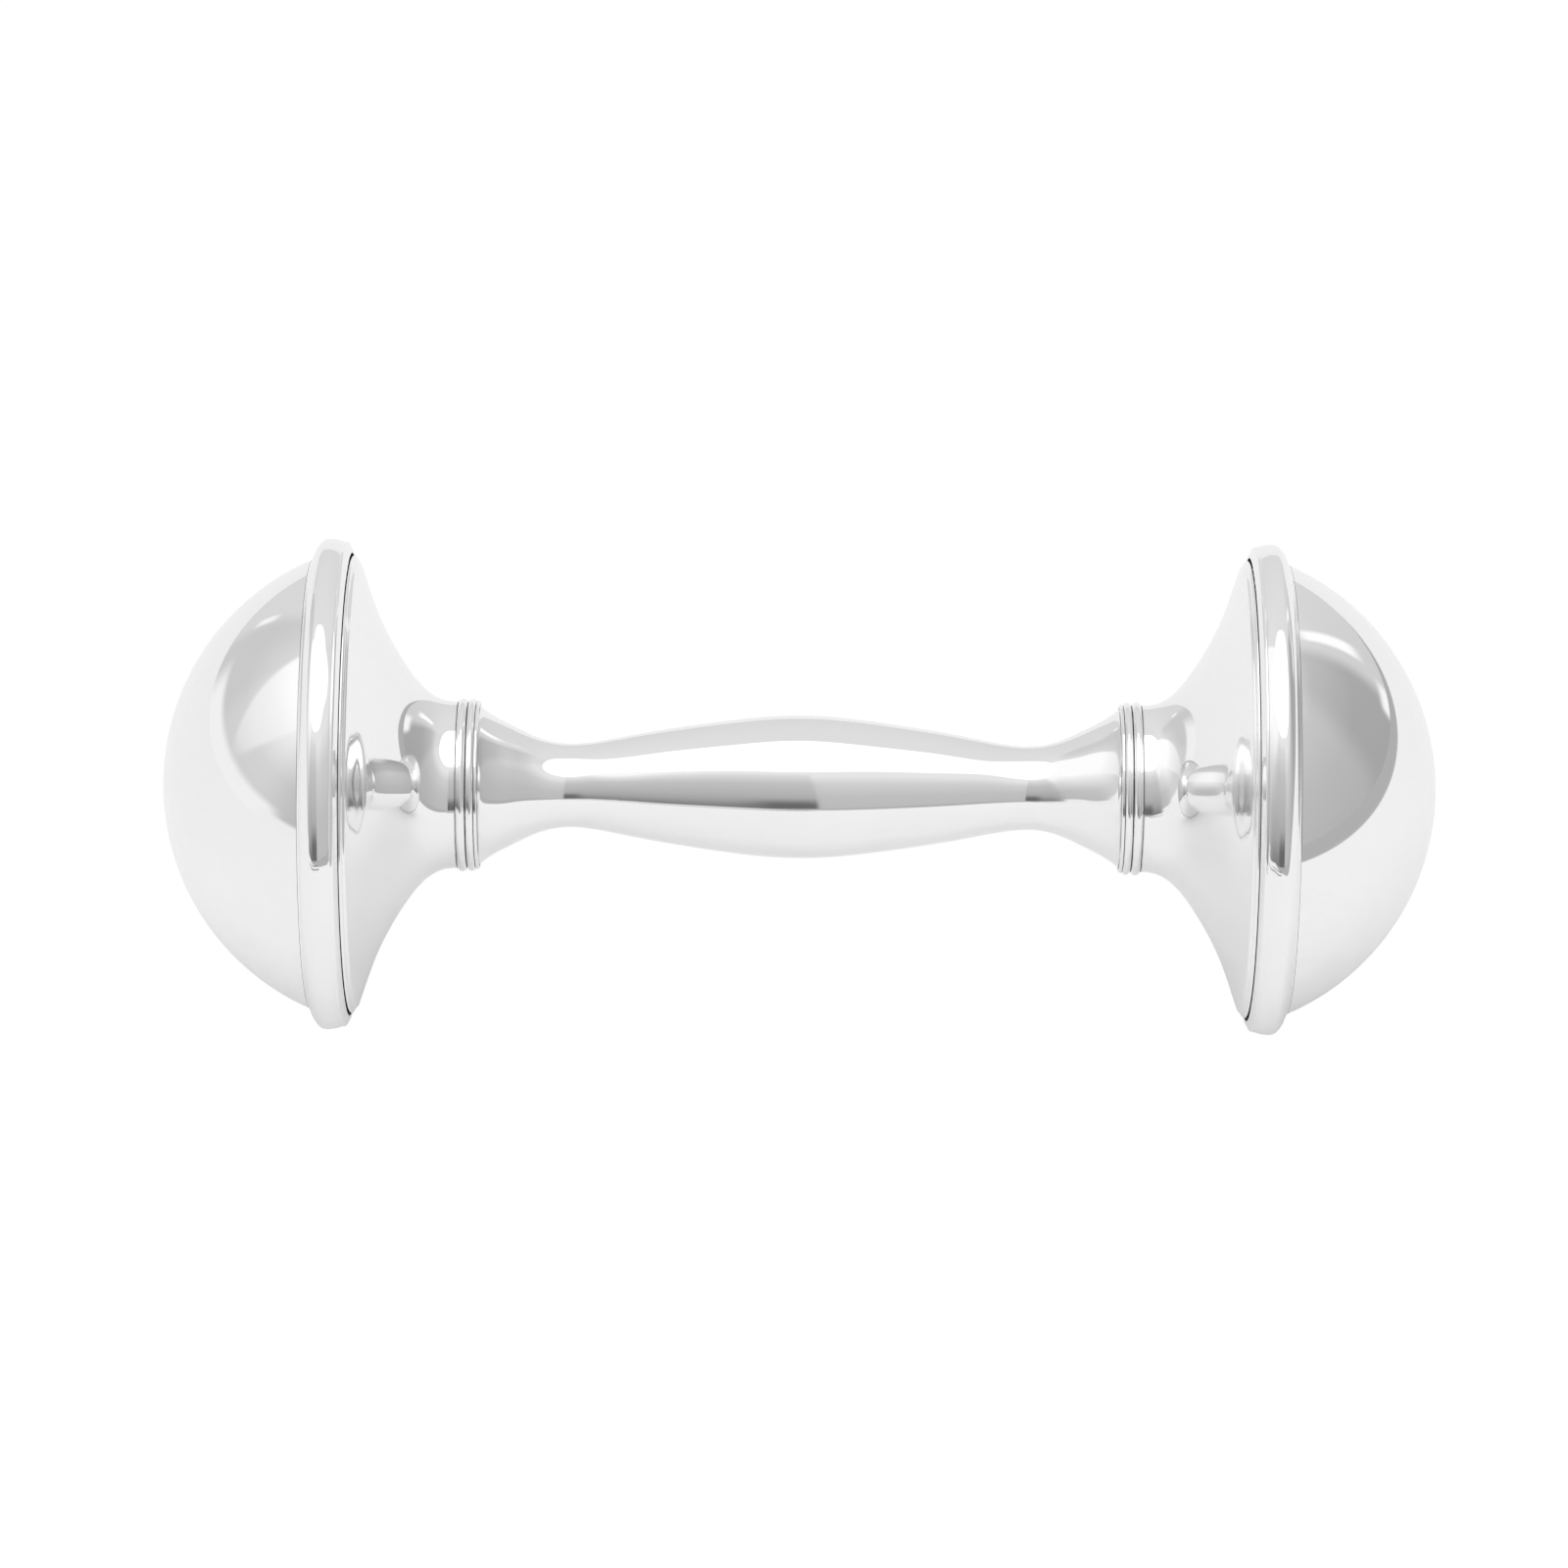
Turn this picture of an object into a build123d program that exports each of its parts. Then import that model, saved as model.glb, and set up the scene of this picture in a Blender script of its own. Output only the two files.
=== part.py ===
from build123d import *
import math
import os

# Dumbbell baby rattle in polished silver, all sizes in millimetres.
# The long axis of the rattle is X, +Z is up and the origin is the centre of
# the grip. Every piece but the pellets is turned about X. Stations are
# (x, radius) for the right-hand end (positive X); the left-hand end mirrors it.

# ---------------------------------------------------------------- dimensions
OVERALL_LENGTH = 122.4        # apex of one dome to apex of the other
RIM_RADIUS = 47.2 / 2         # crown of the moulded rim bands
COLLAR_RADIUS = 16.6 / 2      # nominal crown of the two collar wires
GRIP_RADIUS = 13.74 / 2       # fullest part of the grip
WAIST_RADIUS = 8.04 / 2       # thinnest part of the grip

GAUGE = 0.42                  # thickness of the handle and bell sheet
DOME_GAUGE = 0.45
BAND_GAUGE = 0.50             # strip that forms the rim band
SOLDER_GAP = 0.02             # film of solder between seated pieces

# grip: outside, from the middle of the swell to the flare
GRIP_PROFILE = [
    (0.0, GRIP_RADIUS), (2.0, 6.823), (4.0, 6.682), (6.0, 6.469),
    (8.0, 6.209), (10.0, 5.923), (12.0, 5.618), (14.0, 5.288), (16.0, 4.918),
    (18.0, 4.523), (19.5, 4.251), (21.0, 4.063), (22.0, WAIST_RADIUS),
    (23.0, 4.075), (24.5, 4.373), (26.0, 4.94), (27.5, 5.67), (29.0, 6.43),
    (30.0, 7.04), (30.72, 7.66),
]
GRIP_OUTER_TANGENTS = [(1, 0), (0.62, 0.78)]
GRIP_INNER_TANGENTS = [(1, 0), (0.72, 0.69)]
GRIP_SEAM_X = 1.6             # the two grip halves meet just off centre
CUT_RADIUS = 12               # half height of a cutting slab, clear of the grip

# sleeve: ferrule inside the seam
SLEEVE_HALF_LENGTH = 4.2
SLEEVE_GAUGE = 0.45
SLEEVE_LAST_STATION = 5       # grip station its curve runs out to, each side

# grip end: small turned-out flange, then a spigot that carries the collar
FLANGE_START_X = 30.76
FLANGE_END_X = 31.05
FLANGE_RADIUS = 8.12
FLANGE_BEVEL = (0.09, 0.10)   # along x, across radius
SPIGOT_RADIUS = 7.59
SPIGOT_END_X = 33.42
SPIGOT_BORE = SPIGOT_RADIUS - GAUGE
SEAT_BORE = SPIGOT_RADIUS + SOLDER_GAP   # bore of pieces seated on the spigot

# collar: two half-round wires side by side, as (start x, end x, crown radius)
WIRE_INNER = (31.06, 31.87, COLLAR_RADIUS - 0.01)   # on the grip side
WIRE_OUTER = (31.88, 32.85, COLLAR_RADIUS + 0.03)   # on the bell side

# bell: outside of the spun trumpet, from neck to mouth
BELL_PROFILE = [
    (32.87, 8.03), (33.55, 8.05), (34.20, 8.165), (35.26, 8.63),
    (36.18, 9.348), (36.975, 10.22), (37.69, 11.17), (38.35, 12.16),
    (38.98, 13.177), (39.58, 14.24), (40.144, 15.339), (40.665, 16.48),
    (41.142, 17.677), (41.58, 18.912), (42.01, 20.189), (42.42, 21.43),
]
BELL_TANGENTS = [(1, 0.01), (0.32, 0.947)]
BELL_VALLEY = (0.12, 0.07)    # step in x and radius from the mouth to the bead
BEAD_CENTRE = (42.98, 21.74)  # rolled edge at the mouth
BEAD_RADIUS = 0.26
BEAD_ARC = [(-0.94, -0.34), (-0.60, 0.80), (1, 0)]   # in bead radii from centre
BELL_SKIRT_RADIUS = 21.03
BELL_SKIRT_END_X = 45.00

# dome: a cap of a sphere on a short straight skirt
DOME_CENTRE_X = 37.67
DOME_RADIUS = OVERALL_LENGTH / 2 - DOME_CENTRE_X
DOME_SKIRT_RADIUS = 21.50
DOME_SKIRT_BORE = DOME_SKIRT_RADIUS - DOME_GAUGE
DOME_SKIRT_START_X = 43.42

# rim band: hollow moulding round the joint of dome and bell. The outside runs
# from the foot on the dome over to the lip on the bell side, the inside back.
BAND_BORE = DOME_SKIRT_RADIUS + SOLDER_GAP
BAND_INNER_RADIUS = RIM_RADIUS - BAND_GAUGE   # underside of the crown
FOOT_INNER_X = 46.25
FOOT_OUTER_X = 46.95
RIM_FOOT = [
    (FOOT_INNER_X, BAND_BORE), (FOOT_OUTER_X, BAND_BORE),
    (FOOT_OUTER_X - 0.03, 21.66), (46.84, 21.72), (46.76, 21.88), (46.72, 22.06),
]
RIM_CROWN = [RIM_FOOT[-1], (46.42, 22.72), (46.13, 23.14), (45.85, 23.44),
             (45.60, RIM_RADIUS)]
RIM_CROWN_TANGENTS = [(-0.42, 0.91), (-1, 0)]
RIM_SHOULDER = [(43.95, RIM_RADIUS), (43.88, 23.57), (43.82, 23.50)]
RIM_SHOULDER_TANGENTS = [(-1, 0), (-0.50, -0.87)]
RIM_REED = [(43.72, 23.44), (43.55, 23.29), (43.38, 23.05), (43.23, 22.76),
            (43.12, 22.48)]
RIM_REED_TANGENTS = [(-0.66, -0.75), (-0.42, -0.91)]
RIM_NOTCH = [RIM_SHOULDER[-1], (43.79, 23.41), RIM_REED[0]]
RIM_RECESS_RADIUS = 22.28     # mouth of the groove beside the bell's edge
RIM_LIP_ARC = [RIM_REED[-1], (43.10, 22.36), (43.18, RIM_RECESS_RADIUS)]
RIM_LIP = [RIM_LIP_ARC[-1], (43.42, RIM_RECESS_RADIUS), (43.52, 22.40)]
RIM_INSIDE_RISE = [RIM_LIP[-1], (43.68, 22.66), (43.90, 22.93),
                   (44.22, BAND_INNER_RADIUS)]
RIM_RISE_TANGENTS = [(0.55, 0.83), (0.97, 0.25)]
RIM_INSIDE_FALL = [(45.36, BAND_INNER_RADIUS), (45.66, 22.86), (45.97, 22.42),
                   (FOOT_INNER_X, 21.9)]
RIM_FALL_TANGENTS = [(0.98, -0.2), (0.45, -0.89)]

# seam ring: hoop inside the dome's mouth that stops the bell's skirt
SEAM_RING_START_X = BELL_SKIRT_END_X + SOLDER_GAP
SEAM_RING_END_X = 46.80
SEAM_RING_BORE = 20.43
SEAM_RING_BEVEL = 0.10

# neck cup: dished disc that closes the head off from the hollow grip
CUP_START_X = 33.45
CUP_RIM_X = 34.60             # where the outer face starts to bulge
CUP_BEVEL = 0.15
CUP_RISE = 1.60
CUP_GAUGE = 0.50              # thickness of the wall
CUP_APEX_GAUGE = 0.45
CUP_INNER_SETBACK = 0.25      # the inner bulge starts this far before the outer

# pellets: shot sealed in each head, three in each of two rows
PELLET_RADIUS = 1.6
PELLET_ROWS = [               # (x, distance of the pellet centres from the axis)
    (45.90, SEAM_RING_BORE - PELLET_RADIUS - 0.05),   # just clear of the ring
    (49.20, 18.04),                                   # beside it, by the dome
]
PELLET_STEP_DEG = 10.4        # spacing round the bottom of the head

os.makedirs("parts", exist_ok=True)


# ------------------------------------------------------------------- helpers
def spline(points, tangents=None):
    """A smooth edge through (x, radius) stations."""
    points = [Vector(*point) for point in points]
    if tangents:
        return Spline(points, tangents=[Vector(*tangent) for tangent in tangents])
    return Spline(points)


def lines(*points):
    """Straight edges from each station to the next."""
    return [Line(Vector(*a), Vector(*b)) for a, b in zip(points, points[1:])]


def arc(start, middle, end):
    return ThreePointArc(Vector(*start), Vector(*middle), Vector(*end))


def offset_stations(edge, gauge, steps):
    """Stations on the inner side of a sheet whose outer side is the edge."""
    stations = []
    for i in range(steps + 1):
        point = edge.position_at(i / steps)
        along = edge.tangent_at(i / steps)
        stations.append((point.X + along.Y * gauge, point.Y - along.X * gauge))
    return stations


def lathe(edges):
    """Turn a closed chain of edges about the X axis."""
    return revolve(make_face(Wire(edges)), axis=Axis.X, revolution_arc=360)


def slab(start_x, end_x):
    """A block across the whole grip, used to part a tube square."""
    block = Box(end_x - start_x, 2 * CUT_RADIUS, 2 * CUT_RADIUS)
    return Pos((start_x + end_x) / 2, 0, 0) * block


def mirrored(shape):
    return mirror(shape, about=Plane.YZ)


def write(name, shape):
    """Export a piece, as a bare solid if it holds just one."""
    solids = shape.solids()
    if len(solids) == 1:
        shape = solids[0]
    shape.label = name
    export_step(shape, f"parts/{name}.step")


# -------------------------------------------------------------------- handle
def grip_tube():
    """The right half of the hollow grip, from x = 0 to the spigot's end."""
    outer = spline(GRIP_PROFILE, GRIP_OUTER_TANGENTS)
    # the inside follows the outside until it nears the spigot's bore
    inside = [
        (x, r) for x, r in offset_stations(outer, GAUGE, steps=26)
        if r < SPIGOT_BORE - 0.10
    ]
    inside[0] = (0.0, GRIP_RADIUS - GAUGE)
    inside_x, inside_r = inside[-1]
    bore_start_x = inside_x + (SPIGOT_BORE - inside_r) * 0.95
    bevel_x, bevel_r = FLANGE_BEVEL
    return lathe([
        outer,
        *lines(
            GRIP_PROFILE[-1],
            (FLANGE_START_X, FLANGE_RADIUS - bevel_r),
            (FLANGE_START_X + bevel_x, FLANGE_RADIUS),
            (FLANGE_END_X, FLANGE_RADIUS),
            (FLANGE_END_X, SPIGOT_RADIUS),
            (SPIGOT_END_X, SPIGOT_RADIUS),
            (SPIGOT_END_X, SPIGOT_BORE),
            (bore_start_x, SPIGOT_BORE),
            inside[-1],
        ),
        spline(inside, GRIP_INNER_TANGENTS),
        *lines(inside[0], GRIP_PROFILE[0]),
    ])


def handle_halves():
    """Right and left pieces of the grip, parted at the seam."""
    tube = grip_tube()
    right = tube & slab(GRIP_SEAM_X + SOLDER_GAP / 2, SPIGOT_END_X + 1)
    left = mirrored(tube) + (tube & slab(0, GRIP_SEAM_X - SOLDER_GAP / 2))
    return right, left


def sleeve():
    """Ferrule that follows the inside of the grip across the seam."""
    last = SLEEVE_LAST_STATION
    grip_surface = spline(
        [(-x, r) for x, r in GRIP_PROFILE[last:0:-1]] + GRIP_PROFILE[:last + 1]
    )
    depth = GAUGE + SOLDER_GAP
    wall = offset_stations(grip_surface, depth, steps=40)
    bore = offset_stations(grip_surface, depth + SLEEVE_GAUGE, steps=40)
    body = lathe([
        spline(wall), *lines(wall[-1], bore[-1]),
        spline(bore), *lines(bore[0], wall[0]),
    ])
    return body & slab(GRIP_SEAM_X - SLEEVE_HALF_LENGTH, GRIP_SEAM_X + SLEEVE_HALF_LENGTH)


# -------------------------------------------------------------------- collar
def half_round_wire(start_x, end_x, crown):
    """A D-section wire: flat sides, round crown, seated on the spigot."""
    shoulder = crown - (end_x - start_x) / 2
    return lathe([
        *lines((start_x, SEAT_BORE), (start_x, shoulder)),
        arc((start_x, shoulder), ((start_x + end_x) / 2, crown), (end_x, shoulder)),
        *lines((end_x, shoulder), (end_x, SEAT_BORE), (start_x, SEAT_BORE)),
    ])


# ---------------------------------------------------------------------- head
def bell():
    """Spun trumpet with a rolled bead at its mouth and a straight skirt."""
    outer = spline(BELL_PROFILE, BELL_TANGENTS)
    skirt_bore = BELL_SKIRT_RADIUS - GAUGE
    # the inside stops short of the neck's bore and of the skirt's
    inside = [
        (x, r) for x, r in offset_stations(outer, GAUGE, steps=24)
        if SEAT_BORE + 0.10 < r < skirt_bore - 0.15
    ]
    neck, mouth = BELL_PROFILE[0], BELL_PROFILE[-1]
    valley = (mouth[0] + BELL_VALLEY[0], mouth[1] + BELL_VALLEY[1])
    bead = [
        (BEAD_CENTRE[0] + BEAD_RADIUS * x, BEAD_CENTRE[1] + BEAD_RADIUS * r)
        for x, r in BEAD_ARC
    ]
    return lathe([
        outer,
        *lines(mouth, valley, bead[0]),
        arc(*bead),
        *lines(
            bead[-1],
            (bead[-1][0], BELL_SKIRT_RADIUS),
            (BELL_SKIRT_END_X, BELL_SKIRT_RADIUS),
            (BELL_SKIRT_END_X, skirt_bore),
            (inside[-1][0] + 0.10, skirt_bore),
            inside[-1],
        ),
        spline(inside),
        *lines(inside[0], (inside[0][0] - 0.35, SEAT_BORE), (neck[0], SEAT_BORE), neck),
    ])


def dome():
    """Spherical cap on a straight skirt."""
    def cap(radius, skirt_radius):
        """Skirt end, middle and apex of a cap's arc."""
        skirt_x = DOME_CENTRE_X + math.sqrt(radius ** 2 - skirt_radius ** 2)
        diagonal = radius * math.sqrt(0.5)
        return [
            (skirt_x, skirt_radius),
            (DOME_CENTRE_X + diagonal, diagonal),
            (DOME_CENTRE_X + radius, 0),
        ]

    outer = cap(DOME_RADIUS, DOME_SKIRT_RADIUS)
    inner = cap(DOME_RADIUS - DOME_GAUGE, DOME_SKIRT_BORE)
    skirt_end = (DOME_SKIRT_START_X, DOME_SKIRT_BORE)
    return lathe([
        *lines(skirt_end, (DOME_SKIRT_START_X, DOME_SKIRT_RADIUS), outer[0]),
        arc(*outer),
        *lines(outer[-1], inner[-1]),
        arc(*reversed(inner)),
        *lines(inner[0], skirt_end),
    ])


def rim_band():
    """A strip formed to a hollow moulding: foot, crown, notch, reed and lip."""
    return lathe([
        *lines(*RIM_FOOT),
        spline(RIM_CROWN, RIM_CROWN_TANGENTS),
        *lines(RIM_CROWN[-1], RIM_SHOULDER[0]),
        spline(RIM_SHOULDER, RIM_SHOULDER_TANGENTS),
        *lines(*RIM_NOTCH),
        spline(RIM_REED, RIM_REED_TANGENTS),
        arc(*RIM_LIP_ARC),
        *lines(*RIM_LIP),
        spline(RIM_INSIDE_RISE, RIM_RISE_TANGENTS),
        *lines(RIM_INSIDE_RISE[-1], RIM_INSIDE_FALL[0]),
        spline(RIM_INSIDE_FALL, RIM_FALL_TANGENTS),
        *lines(RIM_INSIDE_FALL[-1], RIM_FOOT[0]),
    ])


def seam_ring():
    """Plain hoop with its two bore edges bevelled."""
    outer = DOME_SKIRT_BORE - SOLDER_GAP
    start_x, end_x = SEAM_RING_START_X, SEAM_RING_END_X
    bore, bevel = SEAM_RING_BORE, SEAM_RING_BEVEL
    return lathe(lines(
        (start_x, bore + bevel), (start_x, outer), (end_x, outer), (end_x, bore + bevel),
        (end_x - bevel, bore), (start_x + bevel, bore), (start_x, bore + bevel),
    ))


def dish(edge_x, edge_radius, apex_x):
    """Edge, middle and apex of a shallow spherical dish that ends on the axis."""
    rise = apex_x - edge_x
    radius = (edge_radius ** 2 + rise ** 2) / (2 * rise)
    middle_r = edge_radius / 2
    middle_x = apex_x - radius + math.sqrt(radius ** 2 - middle_r ** 2)
    return [(edge_x, edge_radius), (middle_x, middle_r), (apex_x, 0)]


def neck_cup():
    """A shallow cup seated in the neck of the bell, bulging into the head."""
    bore = SPIGOT_RADIUS - CUP_GAUGE
    apex_x = CUP_RIM_X + CUP_RISE
    outer = dish(CUP_RIM_X, SPIGOT_RADIUS - CUP_BEVEL, apex_x)
    inner = dish(CUP_RIM_X - CUP_INNER_SETBACK, bore, apex_x - CUP_APEX_GAUGE)
    return lathe([
        *lines(
            (CUP_START_X, bore), (CUP_START_X, SPIGOT_RADIUS),
            (CUP_RIM_X - CUP_BEVEL, SPIGOT_RADIUS), outer[0],
        ),
        arc(*outer),
        *lines(outer[-1], inner[-1]),
        arc(*reversed(inner)),
        *lines(inner[0], (CUP_START_X, bore)),
    ])


def write_pellets():
    """Pellets 1 to 3 are the first row, 4 to 6 the second, each about the bottom."""
    places = [(x, orbit, step) for x, orbit in PELLET_ROWS for step in (-1, 0, 1)]
    for number, (x, orbit, step) in enumerate(places, start=1):
        turn = math.radians(step * PELLET_STEP_DEG)
        y, z = orbit * math.sin(turn), -orbit * math.cos(turn)
        for side, sign in (("right", 1), ("left", -1)):
            write(f"pellet_{side}_{number}", Pos(sign * x, y, z) * Sphere(PELLET_RADIUS))


# --------------------------------------------------------------------- build
handle_right, handle_left = handle_halves()
write("handle_right_half", handle_right)
write("handle_left_half", handle_left)
write("handle_sleeve", sleeve())

end_pieces = {
    "dome": dome(),
    "rim_band": rim_band(),
    "seam_ring": seam_ring(),
    "bell": bell(),
    "collar_wire_outer": half_round_wire(*WIRE_OUTER),
    "collar_wire_inner": half_round_wire(*WIRE_INNER),
    "neck_cup": neck_cup(),
}
for name, piece in end_pieces.items():
    write(f"{name}_right", piece)
    write(f"{name}_left", mirrored(piece))

write_pellets()
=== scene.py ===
"""A silver rattle: a waisted grip between two bells, each closed by a dome.

It lies along X, centred on the origin; "right" parts are at +X and "left" parts
at -X. The camera looks from -Y and above. Lathe profiles are in millimetres,
as (distance from the centre along X, radius), and the scene is in metres.
"""
import math
from functools import reduce

import bpy
import numpy as np
from mathutils import Matrix, Vector


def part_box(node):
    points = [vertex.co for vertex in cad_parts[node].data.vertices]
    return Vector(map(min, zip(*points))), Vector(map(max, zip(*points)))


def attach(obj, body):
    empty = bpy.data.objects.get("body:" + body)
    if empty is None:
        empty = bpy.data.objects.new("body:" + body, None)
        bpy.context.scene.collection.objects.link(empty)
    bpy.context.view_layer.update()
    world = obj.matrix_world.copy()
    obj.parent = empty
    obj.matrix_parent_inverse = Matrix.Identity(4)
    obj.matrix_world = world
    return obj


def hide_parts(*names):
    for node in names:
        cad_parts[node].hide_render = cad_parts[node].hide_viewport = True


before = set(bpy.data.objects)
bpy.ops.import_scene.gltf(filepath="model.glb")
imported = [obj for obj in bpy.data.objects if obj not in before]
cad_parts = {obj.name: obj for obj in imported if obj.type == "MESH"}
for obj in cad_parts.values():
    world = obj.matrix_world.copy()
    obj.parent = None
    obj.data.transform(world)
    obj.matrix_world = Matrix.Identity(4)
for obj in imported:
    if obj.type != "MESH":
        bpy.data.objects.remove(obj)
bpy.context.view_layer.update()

scene = bpy.context.scene
MM = 0.001

# ------------------------------------------------------------ main dimensions
# outer side of the grip: (x, radius), from the centre to the flared end
GRIP = [
    (0.0, 6.87), (2.0, 6.823), (4.0, 6.682), (6.0, 6.469), (8.0, 6.209),
    (10.0, 5.923), (12.0, 5.618), (14.0, 5.288), (16.0, 4.918), (18.0, 4.523),
    (19.5, 4.251), (21.0, 4.063), (22.0, 4.02), (23.0, 4.075), (24.5, 4.373),
    (26.0, 4.94), (27.5, 5.67), (29.0, 6.43), (30.0, 7.04), (30.72, 7.66),
]
# outer side of the bell: (x, radius), from the collar to the mouth
BELL = [
    (32.87, 8.03), (33.55, 8.05), (34.20, 8.165), (35.26, 8.63),
    (36.18, 9.348), (36.975, 10.22), (37.69, 11.17), (38.35, 12.16),
    (38.98, 13.177), (39.58, 14.24), (40.144, 15.339), (40.665, 16.48),
    (41.142, 17.677), (41.58, 18.912), (42.01, 20.189), (42.42, 21.43),
]
# grooves where polish and tarnish gather: (|x|, radius, reach)
GROOVES = [
    (30.735, 7.70, 0.07), (31.06, 7.98, 0.09), (31.875, 7.93, 0.12), (32.86, 7.96, 0.09),
    (43.42, 22.16, 0.18), (43.42, 21.60, 0.26), (46.958, 21.57, 0.03),
]
# collar wires: (label, start x, end x, crown radius, seed)
COLLAR_WIRES = [("inner", 31.06, 31.87, 8.29, 21), ("outer", 31.88, 32.85, 8.33, 27)]

SHEET = 0.42        # wall thickness of the grip and bells
DOME_SHEET = 0.45   # wall thickness of the domes
SEAM_X = 1.6        # where the two grip halves meet
SPIGOT_R = 7.59     # tube on the grip's end that carries the collar and bell
SPIGOT_END = 33.42
BORE_R = 7.61       # bore of the parts on the spigot
MOUTH_R = 21.03     # outer radius of the step inside the bell's mouth
SKIRT_R = 21.50     # outer radius of the dome's skirt
SKIRT_X = 43.42     # open end of the skirt
DOME_R = 23.53
DOME_CENTRE_X = 37.67
DOME_EDGE_X = 46.965  # where the cap meets the skirt

SHARP_ANGLE = math.radians(32)
LEFT_SEED_SHIFT = 40


# -------------------------------------------------------------------- profiles
def curve(stations, start, end, step):
    """Points about a step apart on a cubic curve, given its two end tangents."""
    p = np.array(stations, float)
    h = np.hypot(*np.diff(p, axis=0).T)
    along = np.concatenate([[0], np.cumsum(h)])
    size = len(p)
    matrix = np.zeros((size, size))
    target = np.zeros((size, 2))
    for i in range(1, size - 1):
        matrix[i, i - 1:i + 2] = h[i], 2 * (h[i - 1] + h[i]), h[i - 1]
        before = h[i] * (p[i] - p[i - 1]) / h[i - 1]
        after = h[i - 1] * (p[i + 1] - p[i]) / h[i]
        target[i] = 3 * (before + after)
    for row, tangent in ((0, start), (-1, end)):
        matrix[row, row] = 1
        target[row] = np.array(tangent, float) / np.hypot(*tangent)
    slope = np.linalg.solve(matrix, target)
    count = max(2, int(math.ceil(along[-1] / step)))
    points = []
    for k in range(count + 1):
        s = along[-1] * k / count
        i = min(size - 2, int(np.searchsorted(along, s, "right")) - 1)
        t = (s - along[i]) / h[i]
        points.append(tuple(
            (2 * t**3 - 3 * t**2 + 1) * p[i] + (t**3 - 2 * t**2 + t) * h[i] * slope[i]
            + (-2 * t**3 + 3 * t**2) * p[i + 1] + (t**3 - t**2) * h[i] * slope[i + 1]
        ))
    return points


def arc(centre_x, centre_r, radius, start, end, count):
    """Points on a circle between two angles in degrees."""
    angles = [math.radians(start + (end - start) * k / count) for k in range(count + 1)]
    return [(centre_x + radius * math.cos(a), centre_r + radius * math.sin(a)) for a in angles]


def chain(*runs):
    """One closed profile from several runs, with repeated points dropped."""
    points = []
    for run in runs:
        for x, r in run:
            if not points or math.hypot(x - points[-1][0], r - points[-1][1]) > 1e-4:
                points.append((float(x), float(r)))
    if math.hypot(points[0][0] - points[-1][0], points[0][1] - points[-1][1]) < 1e-4:
        points.pop()
    return points


def inset(points, every):
    """The inner side of a sheet, thinned to every few points."""
    p = np.array(points)
    d = np.gradient(p, axis=0)
    d /= np.hypot(d[:, 0], d[:, 1])[:, None]
    inner = np.c_[p[:, 0] + d[:, 1] * SHEET, p[:, 1] - d[:, 0] * SHEET]
    return [tuple(point) for point in inner[::every]]


# ----------------------------------------------------------------------- lathe
def crevice(x, r):
    """How deep in a groove each point lies, from 0 to 1."""
    depth = np.zeros_like(x)
    for groove_x, groove_r, reach in GROOVES:
        distance = np.hypot(np.abs(x) - groove_x, r - groove_r) / reach
        depth = np.maximum(depth, np.clip(1.35 - distance, 0, 1))
    return depth


def hand_waves(theta, x, seed, waves):
    """Small unevenness left by hand work, from (waves per turn, amplitude) pairs."""
    rng = np.random.default_rng(seed)
    total = np.zeros(theta.shape)
    for per_turn, amplitude in waves:
        for _ in range(3):
            k = per_turn + rng.integers(-1, 2)
            phase = rng.uniform(0, 6.28)
            total += amplitude / 3 * np.sin(k * theta + phase + rng.uniform(-0.35, 0.35) * x)
    return total


def lathe(name, node, side, profile, segments, seed, waves):
    """Turns a closed profile about X into a shell that stands for a CAD node."""
    p = np.array(profile)
    if side == "left":
        p = p * [-1, 1]
    theta = np.arange(segments) * 2 * math.pi / segments
    verts, rings = [], []
    for x, r in p:
        if r < 1e-6:
            rings.append([len(verts)])
            verts.append((x, 0.0, 0.0))
            continue
        fade = min(1.0, r / 4.0)  # no waves at the pole
        radii = r + hand_waves(theta, x, seed, waves) * fade
        rings.append(list(range(len(verts), len(verts) + segments)))
        verts += [(x, a * math.cos(t), a * math.sin(t)) for a, t in zip(radii, theta)]
    faces = []
    for a, b in zip(rings, rings[1:] + rings[:1]):
        if len(a) == 1 and len(b) == 1:
            continue
        for j in range(segments):
            k = (j + 1) % segments
            if len(a) == 1:
                faces.append((a[0], b[k], b[j]))
            elif len(b) == 1:
                faces.append((a[j], a[k], b[0]))
            else:
                faces.append((a[j], a[k], b[k], b[j]))
    # the profile's winding decides which way the faces look
    area = float(np.sum(p[:, 0] * np.roll(p[:, 1], -1) - np.roll(p[:, 0], -1) * p[:, 1]))
    if area > 0:
        faces = [tuple(reversed(face)) for face in faces]
    co = np.array(verts)
    mesh = bpy.data.meshes.new(name)
    mesh.from_pydata((co * MM).tolist(), [], faces)
    mesh.validate()
    mesh.shade_smooth()
    mesh.set_sharp_from_angle(angle=SHARP_ANGLE)
    mask = mesh.attributes.new("crevice", "FLOAT", "POINT")
    depth = crevice(co[:, 0], np.hypot(co[:, 1], co[:, 2]))
    mask.data.foreach_set("value", depth.astype(np.float32))
    obj = bpy.data.objects.new(name, mesh)
    scene.collection.objects.link(obj)
    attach(obj, "rattle_shell")
    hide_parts(node)
    return obj


def side_seed(side, seed):
    return seed + (LEFT_SEED_SHIFT if side == "left" else 0)


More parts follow.
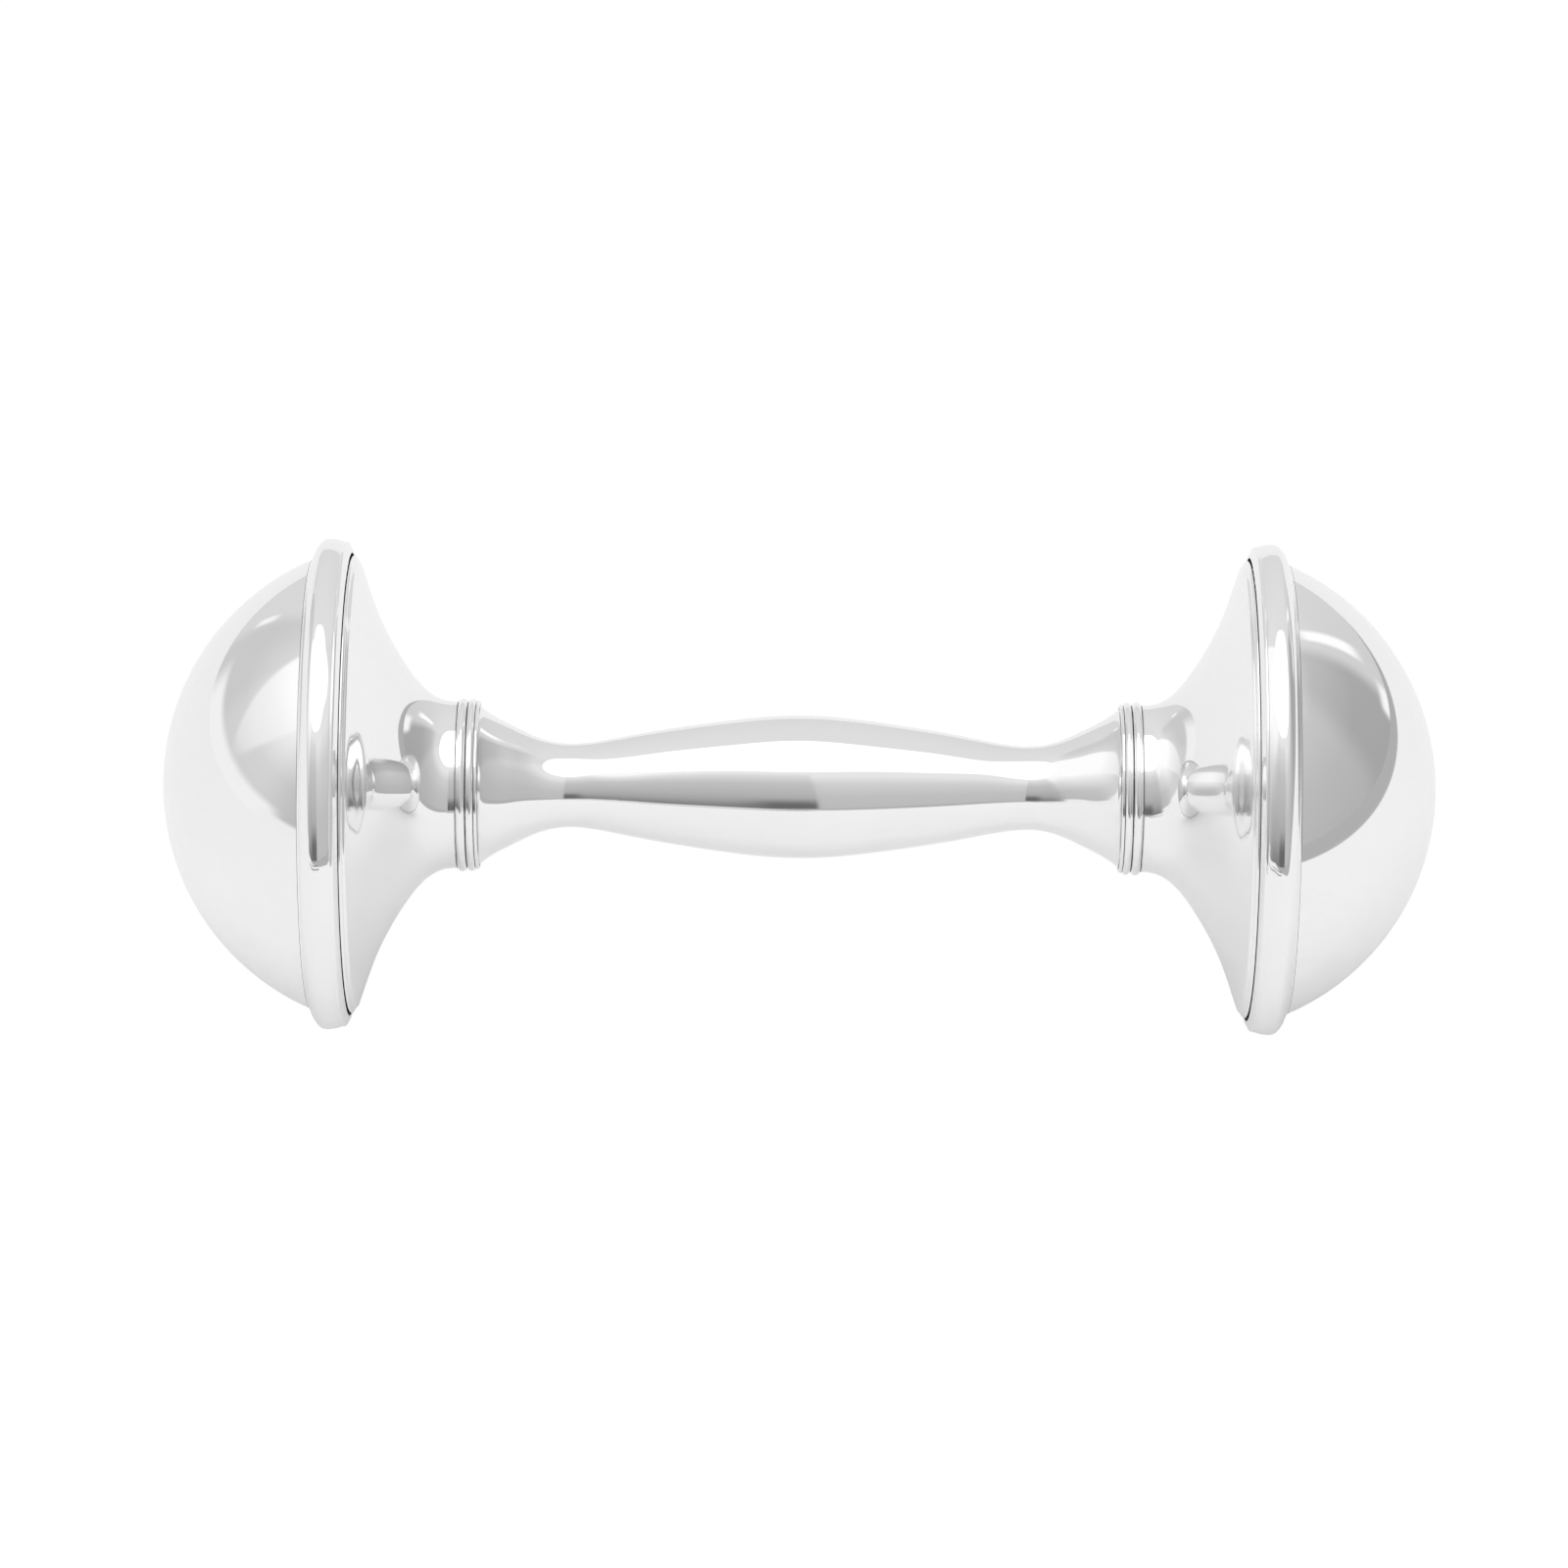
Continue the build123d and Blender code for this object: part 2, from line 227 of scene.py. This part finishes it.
# ---------------------------------------------------------------------- shells
def make_grip(side):
    """Grip half: wall, flare, flange and spigot. The left half reaches past the
    centre to meet the right one."""
    left = side == "left"
    outer = curve(GRIP, (1, 0), (0.62, 0.78), 0.16)
    lip_x = (-SEAM_X if left else SEAM_X) + 0.0005
    lip_r = float(np.interp(SEAM_X, *zip(*outer)))
    near_x = 0.08 if left else SEAM_X + 0.03
    middle = [(-x, r) for x, r in outer if 0.0 <= x < SEAM_X - 0.03] if left else []
    inner = [q for q in inset(outer, 6) if q[1] < SPIGOT_R - 0.52 and q[0] > SEAM_X + 0.2]
    spigot_bore = SPIGOT_R - SHEET
    profile = chain(
        [(lip_x, lip_r - SHEET), (lip_x, lip_r)],
        reversed(middle),
        [q for q in outer if q[0] > near_x],
        [(30.74, 7.70), (30.76, 8.00), (30.79, 8.07), (30.85, 8.115), (30.92, 8.12),
         (31.02, 8.12), (31.05, 8.10), (31.05, SPIGOT_R), (SPIGOT_END, SPIGOT_R),
         (SPIGOT_END, spigot_bore), (inner[-1][0] + 0.45, spigot_bore)],
        reversed(inner),
        [(0.0, 6.45), (-0.8, 6.44)] if left else [(SEAM_X + 0.05, lip_r - SHEET)],
    )
    return lathe(f"grip_{side}", f"handle_{side}_half", side, profile, segments=288,
                 seed=11, waves=((3, 0.010), (7, 0.004)))


def make_collar_wire(side, label, start_x, end_x, crown, seed):
    """Half-round wire, drawn and bent by hand."""
    bend = (end_x - start_x) / 2
    top = arc((start_x + end_x) / 2, crown - bend, bend, 180, 0, 24)
    profile = chain([(start_x, BORE_R)], top, [(end_x, BORE_R)])
    node = f"collar_wire_{label}_{side}"
    return lathe(f"{node}_finish", node, side, profile, segments=360,
                 seed=side_seed(side, seed), waves=((4, 0.012), (11, 0.006), (23, 0.003)))


def make_bell(side):
    """Spun trumpet with a rolled bead at the mouth."""
    outer = curve(BELL, (1, 0.01), (0.32, 0.947), 0.13)
    bead_x, bead_r, bead_size = 42.98, 21.74, 0.26
    step_x = 45.00
    step_bore = MOUTH_R - SHEET
    inner = [q for q in inset(outer, 5) if BORE_R + 0.12 < q[1] < MOUTH_R - 0.60]
    profile = chain(
        outer,
        [(42.50, 21.51), (42.58, 21.54), (42.66, 21.58), (42.70, 21.62)],
        arc(bead_x, bead_r, bead_size, 186, 0, 16),
        [(bead_x + bead_size, MOUTH_R), (step_x, MOUTH_R), (step_x, step_bore),
         (inner[-1][0] + 0.12, step_bore)],
        reversed(inner),
        [(inner[0][0] - 0.35, BORE_R), (BELL[0][0], BORE_R)],
    )
    return lathe(f"bell_{side}_finish", f"bell_{side}", side, profile, segments=352,
                 seed=side_seed(side, 31), waves=((3, 0.008), (6, 0.004)))


def make_rim_band(side):
    """Band round the joint of bell and dome, from its foot on the dome inward
    along X to its lip. The crown leans a little toward the grip."""
    foot = [(x, 21.52) for x in np.linspace(46.25, 46.95, 4)] + [
        (46.95, 21.60), (46.93, 21.655), (46.87, 21.69), (46.82, 21.74), (46.78, 21.82)]
    crown = curve(
        [(46.74, 21.96), (46.64, 22.26), (46.42, 22.74), (46.13, 23.16), (45.92, 23.385),
         (45.76, 23.505), (45.60, 23.565), (45.45, 23.592), (45.28, 23.602), (45.10, 23.600),
         (44.90, 23.588), (44.70, 23.565), (44.50, 23.526), (44.30, 23.472), (44.12, 23.418),
         (43.95, 23.362)],
        (-0.20, 0.98), (-0.944, -0.330), 0.06)
    notch = [(43.91, 23.346), (43.86, 23.325), (43.80, 23.298)]
    reed = curve(
        [(43.74, 23.340), (43.66, 23.325), (43.55, 23.29), (43.38, 23.05), (43.23, 22.76),
         (43.12, 22.48)],
        (-0.98, -0.05), (-0.42, -0.91), 0.05)
    lip = [(43.10, 22.40), (43.12, 22.32), (43.18, 22.28), (43.42, 22.28), (43.52, 22.40)]
    # underside, back to the foot
    rise = curve([(43.52, 22.40), (43.68, 22.66), (43.90, 22.93), (44.22, 23.10)],
                 (0.55, 0.83), (0.97, 0.25), 0.2)
    fall = curve([(45.36, 23.10), (45.66, 22.86), (45.97, 22.42), (46.25, 21.9)],
                 (0.98, -0.2), (0.45, -0.89), 0.3)
    profile = chain(foot, crown, notch, reed, lip, rise, fall)
    return lathe(f"rim_band_{side}_finish", f"rim_band_{side}", side, profile, segments=512,
                 seed=side_seed(side, 41), waves=((5, 0.006), (13, 0.003), (27, 0.0016)))


def make_dome(side):
    """Cap of a sphere on a short skirt, out to the pole and back inside."""
    inner_r = DOME_R - DOME_SHEET
    skirt_bore = SKIRT_R - DOME_SHEET
    cap_angle = math.degrees(math.acos((DOME_EDGE_X - DOME_CENTRE_X) / DOME_R))
    inner_angle = math.degrees(math.asin(skirt_bore / inner_r))
    profile = chain(
        [(SKIRT_X, skirt_bore)],
        [(x, SKIRT_R) for x in (SKIRT_X, 44.6, 45.8, 46.955)],
        arc(DOME_CENTRE_X, 0, DOME_R, cap_angle, 0, 120),
        arc(DOME_CENTRE_X, 0, inner_r, 0, inner_angle, 24),
    )
    return lathe(f"dome_{side}_finish", f"dome_{side}", side, profile, segments=384,
                 seed=side_seed(side, 51), waves=((3, 0.006), (5, 0.003)))


shells = {}
for side in ("right", "left"):
    shells["grip", side] = make_grip(side)
    for wire in COLLAR_WIRES:
        shells[wire[0], side] = make_collar_wire(side, *wire)
    shells["bell", side] = make_bell(side)
    shells["rim", side] = make_rim_band(side)
    shells["dome", side] = make_dome(side)

# ---------------------------------------------------------------- shot pellets
PELLET_SEGMENTS = 40
PELLET_RINGS = 24
DENT = 0.02 * MM


def make_pellet(node, number):
    """A slightly dented ball that fills the CAD pellet's box."""
    low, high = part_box(node)
    centre = (low + high) / 2
    radius = min((high - low)) / 2
    seg = PELLET_SEGMENTS
    verts = [(0, 0, radius)]
    for i in range(1, PELLET_RINGS):
        for j in range(seg):
            a, b = math.pi * i / PELLET_RINGS, 2 * math.pi * j / seg
            v = Vector((math.sin(a) * math.cos(b), math.sin(a) * math.sin(b), math.cos(a)))
            ripple = math.sin(5 * v.x + number) * math.sin(4 * v.y + 2 * number)
            v *= radius - DENT * (1 + ripple * math.cos(3 * v.z))
            verts.append(tuple(v))
    verts.append((0, 0, -radius))
    faces = [(0, 1 + j, 1 + (j + 1) % seg) for j in range(seg)]
    for i in range(PELLET_RINGS - 2):
        a = 1 + i * seg
        for j in range(seg):
            k = (j + 1) % seg
            faces.append((a + j, a + seg + j, a + seg + k, a + k))
    last = len(verts) - 1
    a = last - seg
    faces += [(last, a + (j + 1) % seg, a + j) for j in range(seg)]
    mesh = bpy.data.meshes.new(node + "_shot")
    mesh.from_pydata([tuple(Vector(v) + centre) for v in verts], [], faces)
    mesh.shade_smooth()
    obj = bpy.data.objects.new(node + "_shot", mesh)
    scene.collection.objects.link(obj)
    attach(obj, f"{node}_body")
    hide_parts(node)
    return obj


pellets = [make_pellet(f"pellet_{side}_{n}", n) for side in ("left", "right")
           for n in range(1, 7)]


# --------------------------------------------------------------- node building
class Graph:
    """Short names for building a shader out of maths."""

    def __init__(self, owner):
        owner.use_nodes = True
        self.tree = owner.node_tree
        self.tree.nodes.clear()

    def add(self, kind, inputs=(), **settings):
        node = self.tree.nodes.new(kind)
        for key, value in settings.items():
            setattr(node, key, value)
        for key, value in dict(inputs).items():
            self.put(node.inputs[key], value)
        return node

    def put(self, socket, value):
        if isinstance(value, bpy.types.NodeSocket):
            self.tree.links.new(value, socket)
        else:
            socket.default_value = value

    def math(self, operation, *values, clamp=False):
        return self.add("ShaderNodeMath", enumerate(values), operation=operation,
                        use_clamp=clamp).outputs[0]

    def fold(self, operation, values):
        return reduce(lambda a, b: self.math(operation, a, b), values)

    def plus(self, *values):
        return self.fold("ADD", values)

    def minus(self, *values):
        return self.fold("SUBTRACT", values)

    def times(self, *values):
        return self.fold("MULTIPLY", values)

    def span(self, value, start, end, low=0.0, high=1.0, kind="SMOOTHSTEP"):
        """Goes from low to high as the value goes from start to end."""
        return self.add("ShaderNodeMapRange", {
            "Value": value, "From Min": start, "From Max": end, "To Min": low, "To Max": high,
        }, interpolation_type=kind).outputs[0]

    def fall(self, value, start, end):
        return self.span(value, start, end, low=1.0, high=0.0)

    def mix(self, factor, a, b):
        return self.add("ShaderNodeMix", {0: factor, 2: a, 3: b}, data_type="FLOAT",
                        clamp_factor=True).outputs[0]

    def grey(self, value):
        return self.add("ShaderNodeCombineColor", {k: value for k in range(3)}).outputs[0]

    def noise(self, vector, scale, detail=2.0, rough=0.5, distortion=0.0):
        return self.add("ShaderNodeTexNoise", {
            "Vector": vector, "Scale": scale, "Detail": detail, "Roughness": rough,
            "Distortion": distortion}).outputs[0]

    def mapped(self, vector, scale=(1, 1, 1), turn=(0, 0, 0), shift=(0, 0, 0)):
        return self.add("ShaderNodeMapping", {
            "Vector": vector, "Scale": scale, "Rotation": turn, "Location": shift}).outputs[0]

    def ramp(self, factor, stops, interpolation="LINEAR"):
        """Grey ramp from (position, value) stops."""
        node = self.add("ShaderNodeValToRGB")
        ramp = node.color_ramp
        ramp.interpolation = interpolation
        while len(ramp.elements) < len(stops):
            ramp.elements.new(0.5)
        for element, (position, _) in zip(ramp.elements, stops):
            element.position = position
        for element, (_, value) in zip(ramp.elements, stops):
            element.color = (value, value, value, 1)
        self.put(node.inputs[0], factor)
        return node.outputs[0]


# ------------------------------------------------------------------- materials
# hairline directions: (stretch of the noise, rotation in radians)
HAIRLINES = (
    ((60, 900, 900), (0.0, 0.2, 0.35)),
    ((900, 90, 700), (0.7, 0.1, -0.4)),
    ((500, 800, 60), (0.2, -0.6, 0.9)),
)
TARNISH_TONE = 0.26
TARNISH_ROUGHNESS = 0.42
# relief depths in metres
HAIRLINE_DEPTH = 2.2e-7
PIT_DEPTH = 1.6e-6
# grain: (noise scale, height)
POLISHED_GRAIN = (5200.0, 1.2e-8)
SATIN_GRAIN = (2600.0, 1.4e-6)


def silver(name, tone, roughness, film, wobble, scratches, seed, grain=POLISHED_GRAIN):
    """Metal with tarnish, hairlines, a handling film and a wobble in metres."""
    mat = bpy.data.materials.new(name)
    net = Graph(mat)
    at = net.add("ShaderNodeTexCoord").outputs["Object"]
    at = net.mapped(at, shift=(seed * 0.013, seed * 0.007, -seed * 0.011))
    groove = net.add("ShaderNodeAttribute", attribute_name="crevice").outputs["Fac"]

    # tarnish and old polish in the grooves, uneven round the piece
    patchy = net.span(net.noise(at, scale=420.0, detail=3.0), 0.30, 0.62, low=0.35)
    tarnish = net.math("MULTIPLY", net.span(groove, 0.05, 0.85), patchy, clamp=True)
    cloud = net.span(net.noise(at, scale=55.0, detail=4.0, rough=0.6), 0.30, 0.75,
                     low=-0.012, high=0.012, kind="LINEAR")
    tone = net.mix(tarnish, net.plus(cloud, tone), TARNISH_TONE)

    # hairlines: long iso-lines of stretched noise, shown in sparse patches
    lines = []
    for k, (stretch, turn) in enumerate(HAIRLINES):
        stretched = net.mapped(at, stretch, turn, shift=(k * 3.1, k * 1.7, seed * 0.37))
        noise = net.noise(stretched, scale=1.0, detail=1.0, rough=0.4)
        line = net.fall(net.math("ABSOLUTE", net.minus(noise, 0.5)), 0.0, 0.0045)
        sparse = net.span(net.noise(at, scale=130.0 + 40 * k, detail=1.0), 0.54, 0.68)
        lines.append(net.times(line, sparse))
    lines = net.fold("MAXIMUM", lines)

    # handling film: faint broad smears and finer mottling in the gloss
    smears = net.span(net.noise(at, scale=95.0, detail=5.0, rough=0.62, distortion=0.6),
                      0.42, 0.72)
    mottle = net.noise(at, scale=900.0, detail=3.0, rough=0.6)
    gloss = net.plus(net.times(smears, film), roughness, net.times(mottle, roughness * 0.5),
                     net.times(lines, 0.10 * scratches))
    gloss = net.mix(tarnish, gloss, TARNISH_ROUGHNESS)

    # relief: slow unevenness, fine grain, hairlines, pits
    slow = net.noise(at, scale=105.0, detail=1.5, rough=0.45)
    slower = net.noise(at, scale=38.0, detail=1.0, rough=0.4)
    grain_scale, grain_height = grain
    height = net.plus(net.times(slow, wobble), net.times(slower, wobble * 2.4),
                      net.times(net.noise(at, scale=grain_scale), grain_height))
    cells = net.add("ShaderNodeTexVoronoi", {"Vector": at, "Scale": 650.0, "Randomness": 1.0})
    pits = net.times(net.fall(cells.outputs["Distance"], 0.02, 0.085),
                     net.span(net.noise(at, scale=240.0, detail=1.0), 0.60, 0.66))
    height = net.minus(height, net.times(lines, HAIRLINE_DEPTH * scratches),
                       net.times(pits, PIT_DEPTH))
    bump = net.add("ShaderNodeBump", {"Height": height, "Strength": 1.0, "Distance": 1.0})
    bsdf = net.add("ShaderNodeBsdfPrincipled", {
        "Base Color": net.grey(tone), "Metallic": 1.0, "Roughness": gloss,
        "Normal": bump.outputs[0]})
    net.add("ShaderNodeOutputMaterial", {0: bsdf.outputs[0]})
    return mat


def paint(obj, mat):
    obj.data.materials.clear()
    obj.data.materials.append(mat)


polished = [silver(f"polished_silver_{k}", tone=0.95, roughness=0.020, film=0.045,
                   wobble=6.0e-6, scratches=1.0, seed=k) for k in range(1, 7)]
wires = [silver(f"wire_silver_{k}", tone=0.945, roughness=0.035, film=0.05,
                wobble=7.0e-6, scratches=0.8, seed=10 + k) for k in range(1, 3)]
inside = silver("raw_silver_inside", tone=0.88, roughness=0.28, film=0.12,
                wobble=8.0e-6, scratches=0.6, seed=21, grain=SATIN_GRAIN)
shot = silver("steel_shot", tone=0.62, roughness=0.16, film=0.12,
              wobble=3.0e-6, scratches=1.0, seed=31)

# the grip halves were polished as one; the left bell shares the right dome's finish
for i, side in enumerate(("right", "left")):
    paint(shells["grip", side], polished[0])
    for wire in COLLAR_WIRES:
        paint(shells[wire[0], side], wires[i])
    for k, part in enumerate(("bell", "rim", "dome"), 1):
        paint(shells[part, side], polished[k + 2 * i])
for obj in pellets:
    paint(obj, shot)
for name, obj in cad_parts.items():
    if name.startswith(("neck_cup", "seam_ring", "handle_sleeve")):
        paint(obj, inside)

# ----------------------------------------------------------------------- floor
FLOOR_Z = -23.6 * MM
FLOOR_HALF = 6.0
SHEET_EDGE_X = 0.310      # right end of the sheet under the object, at y = 0
SHEET_EDGE_SLANT = 0.50   # how far that end moves in x per unit of y
SHEET_TONE, TABLE_TONE = 0.93, 0.53
SHEET_LIFT = 0.13         # glow added to the sheet in reflections
VIEWED_GLOW = 1.03        # floor brightness for the camera
SHADOW_X, SHADOW_Y = 0.098, 0.068  # half axes of the patch that takes shadows
# dark strips on the camera's side: (near y, far y, tone)
STRIPS = ((-0.43, -0.385, 0.10), (-0.70, -0.60, 0.08))
WHITE = (1, 1, 1, 1)


def floor_material():
    mat = bpy.data.materials.new("studio_floor")
    net = Graph(mat)
    position = net.add("ShaderNodeNewGeometry").outputs["Position"]
    x, y, _ = net.add("ShaderNodeSeparateXYZ", {"Vector": position}).outputs
    edge = net.minus(x, net.plus(net.times(y, SHEET_EDGE_SLANT), SHEET_EDGE_X))
    beyond = net.span(edge, -0.006, 0.006)
    tone = net.mix(beyond, SHEET_TONE, TABLE_TONE)
    for near, far, strip_tone in STRIPS:
        strip = net.times(net.span(y, near - 0.01, near), net.fall(y, far, far + 0.01),
                          net.fall(x, 0.02, 0.03), net.span(x, -0.35, -0.25))
        tone = net.mix(strip, tone, strip_tone)
    grain = net.span(net.noise(position, scale=160.0, detail=4.0), 0.3, 0.7,
                     low=-0.012, high=0.012, kind="LINEAR")
    tone = net.plus(tone, grain)

    # what the silver reflects
    sheet = net.add("ShaderNodeBsdfDiffuse", {"Color": net.grey(tone), "Roughness": 0.4})
    lift = net.add("ShaderNodeEmission", {
        "Color": WHITE, "Strength": net.mix(beyond, SHEET_LIFT, 0.0)})
    reflected = net.add("ShaderNodeAddShader", {0: sheet.outputs[0], 1: lift.outputs[0]})

    # what the camera sees: even white, with a trace of shadow round the object
    paper = net.add("ShaderNodeBsdfDiffuse", {
        "Color": (0.93, 0.93, 0.93, 1), "Roughness": 0.4})
    glow = net.add("ShaderNodeEmission", {"Color": WHITE, "Strength": VIEWED_GLOW})
    squares = [net.math("POWER", net.math("DIVIDE", axis, half), 2.0)
               for axis, half in ((x, SHADOW_X), (y, SHADOW_Y))]
    away = net.math("SQRT", net.plus(*squares))
    viewed = net.add("ShaderNodeMixShader", {
        0: net.span(away, 0.55, 1.0, low=0.95), 1: paper.outputs[0], 2: glow.outputs[0]})

    path = net.add("ShaderNodeLightPath")
    both = net.add("ShaderNodeMixShader", {
        0: path.outputs["Is Camera Ray"], 1: reflected.outputs[0], 2: viewed.outputs[0]})
    net.add("ShaderNodeOutputMaterial", {0: both.outputs[0]})
    return mat


mesh = bpy.data.meshes.new("floor")
corners = ((-1, -1), (1, -1), (1, 1), (-1, 1))
mesh.from_pydata([(x * FLOOR_HALF, y * FLOOR_HALF, FLOOR_Z) for x, y in corners],
                 [], [(0, 1, 2, 3)])
floor = bpy.data.objects.new("floor", mesh)
scene.collection.objects.link(floor)
paint(floor, floor_material())

# ---------------------------------------------------------------- studio light
# Directions are in degrees: azimuth is 0 at -Y and positive toward +X, elevation
# is 0 at the horizon. Levels are display values from 0 to 255.
# room walls: (elevation where the blend starts, where it ends, (azimuth, level) stops)
WALLS = (
    (None, 0, (
        (-180, 216), (-146, 214), (-138, 201), (-118, 199), (-105, 204), (-75, 203),
        (-45, 184), (-30, 172), (0, 184), (15, 186), (85, 177), (100, 164), (122, 166),
        (130, 206), (180, 216))),
    (0, 20, (
        (-180, 219), (-146, 216), (-138, 200), (-118, 201), (-105, 210), (-75, 212),
        (-45, 189), (-30, 180), (0, 188), (15, 191), (85, 184), (100, 168), (122, 170),
        (130, 210), (180, 219))),
    (20, 40, (
        (-180, 222), (-146, 221), (-138, 206), (-118, 216), (-105, 238), (-75, 246),
        (-45, 219), (-30, 206), (0, 203), (15, 207), (85, 198), (105, 186), (122, 190),
        (132, 218), (180, 222))),
    (40, 53, (
        (-180, 222), (-128, 226), (-105, 254), (-75, 254), (-45, 250), (-30, 232),
        (0, 230), (15, 230), (85, 226), (105, 218), (122, 218), (132, 222), (180, 222))),
)
# dark place where the camera stands: (elevation, level)
CAMERA_SIDE = ((0, 126), (4, 138), (12, 163), (22, 176), (31, 184), (41, 192), (50, 211),
               (57, 220))
CAMERA_SIDE_EDGE = (4.4, 5.4)  # azimuths of its hard right edge
CAMERA_SIDE_LOW_LEVEL = 104    # its darkest part, toward the table
WINDOW = ((12, 222), (22, 234), (33, 243))  # (elevation, level)
WINDOW_TOP = (42, 1.04)                     # (elevation, radiance)
# soft-edged panels: (azimuths, elevations, level, softness in azimuth, in elevation)
CARDS = (
    ((-130, -62), (-4, 7.5), 240, 6, 2.0),      # low pale band on the left
    ((-70, -40), (-4, 4.5), 236, 5, 1.2),
    ((133, 138), (10, 35), 255, 1.2, 4),        # slivers beside the backdrop
    ((121, 130), (-2, 4), 246, 2, 2),
    ((-144.5, -142.0), (9, 17), 244, 0.7, 2.5),
)
SOFTBOX_EDGE = 60.2       # elevation of the overhead softbox's edge
SOFTBOX_REAR_LIFT = 4.0   # how much higher that edge is at the rear
SOFTBOX_RADIANCE = 1.32
BACKDROP_RADIANCE = 0.985  # what the camera sees
DEGREES = 180 / math.pi


def radiance(level):
    """Scene radiance that shows as this display level when seen in silver."""
    s = level / 255.0
    return (s / 12.92 if s <= 0.04045 else ((s + 0.055) / 1.055) ** 2.4) / 0.95


world = bpy.data.worlds.new("studio")
scene.world = world
net = Graph(world)
toward = net.add("ShaderNodeTexCoord").outputs["Generated"]
dir_x, dir_y, dir_z = net.add("ShaderNodeSeparateXYZ", {"Vector": toward}).outputs
azimuth = net.times(net.math("ARCTAN2", dir_x, net.times(dir_y, -1.0)), DEGREES)
sine = net.math("MINIMUM", net.math("MAXIMUM", dir_z, -1.0), 1.0)
elevation = net.times(net.math("ARCSINE", sine), DEGREES)
turn = net.math("DIVIDE", net.plus(azimuth, 180.0), 360.0)

wall = None
for start, end, stops in WALLS:
    ring = net.ramp(turn, [((a + 180) / 360, radiance(v)) for a, v in stops], "EASE")
    if wall is None:
        wall = ring
    else:
        wall = net.mix(net.span(elevation, start, end, kind="LINEAR"), wall, ring)

# dark camera side, then its darker foot
mask = net.times(net.span(azimuth, -46, -24), net.fall(azimuth, *CAMERA_SIDE_EDGE),
                 net.fall(elevation, 52, 58))
shade = net.ramp(net.math("DIVIDE", net.plus(elevation, 10.0), 70.0),
                 [((e + 10) / 70, radiance(v)) for e, v in CAMERA_SIDE])
wall = net.mix(mask, wall, shade)
mask = net.times(net.span(azimuth, -17, -5), net.fall(azimuth, *CAMERA_SIDE_EDGE),
                 net.span(elevation, -3, -1), net.fall(elevation, 5, 19))
wall = net.mix(mask, wall, radiance(CAMERA_SIDE_LOW_LEVEL))

# tall window on the left, centred on azimuth -94.5 and narrowing downward
half_width = net.plus(net.times(net.minus(elevation, 15.0), 0.64), 6.0)
off = net.minus(net.math("ABSOLUTE", net.plus(azimuth, 94.5)), half_width)
mask = net.times(net.fall(off, -2.0, 2.0), net.span(elevation, 7, 15))
stops = [(e / 60, radiance(v)) for e, v in WINDOW] + [(WINDOW_TOP[0] / 60, WINDOW_TOP[1])]
wall = net.mix(mask, wall, net.ramp(net.math("DIVIDE", elevation, 60.0), stops))

for azimuths, elevations, level, soft_a, soft_e in CARDS:
    edges = []
    for angle, (start, end), soft in ((azimuth, azimuths, soft_a),
                                      (elevation, elevations, soft_e)):
        edges.append(net.span(angle, start - soft, start + soft))
        edges.append(net.fall(angle, end - soft, end + soft))
    wall = net.mix(net.times(*edges), wall, radiance(level))

rear = net.span(net.math("ABSOLUTE", azimuth), 60, 125)
above = net.minus(elevation, net.plus(net.times(rear, SOFTBOX_REAR_LIFT), SOFTBOX_EDGE))
light = net.mix(net.span(above, -0.9, 0.9), wall, SOFTBOX_RADIANCE)
path = net.add("ShaderNodeLightPath")
shown = net.mix(path.outputs["Is Camera Ray"], light, BACKDROP_RADIANCE)
background = net.add("ShaderNodeBackground", {"Color": net.grey(shown), "Strength": 1.0})
net.add("ShaderNodeOutputWorld", {0: background.outputs[0]})

scene.view_settings.view_transform = "Standard"
scene.view_settings.look = "None"

# ---------------------------------------------------------------------- camera
ELEVATION = math.radians(36.0)
ROLL = math.radians(0.35)
DISTANCE = 0.690
LENS = 164.4525
# small turns of the camera's axis off the origin, as tangents
AXIS_RIGHT = 0.0021343549
AXIS_DOWN = 0.0003967711

to_camera = Vector((0, -math.cos(ELEVATION), math.sin(ELEVATION)))
level_up = Vector((0, math.sin(ELEVATION), math.cos(ELEVATION)))
level_right = Vector((1, 0, 0))
right = level_right * math.cos(ROLL) + level_up * math.sin(ROLL)
up = level_up * math.cos(ROLL) - level_right * math.sin(ROLL)
z = (to_camera + right * AXIS_RIGHT - up * AXIS_DOWN).normalized()
x = (right - z * right.dot(z)).normalized()
y = z.cross(x)
data = bpy.data.cameras.new("camera")
data.sensor_width = 36.0
data.lens = LENS
data.clip_start = 0.05
data.clip_end = 20.0
camera = bpy.data.objects.new("camera", data)
scene.collection.objects.link(camera)
pose = Matrix((x, y, z)).transposed().to_4x4()
pose.translation = to_camera * DISTANCE
camera.matrix_world = pose
scene.camera = camera

bpy.context.view_layer.update()
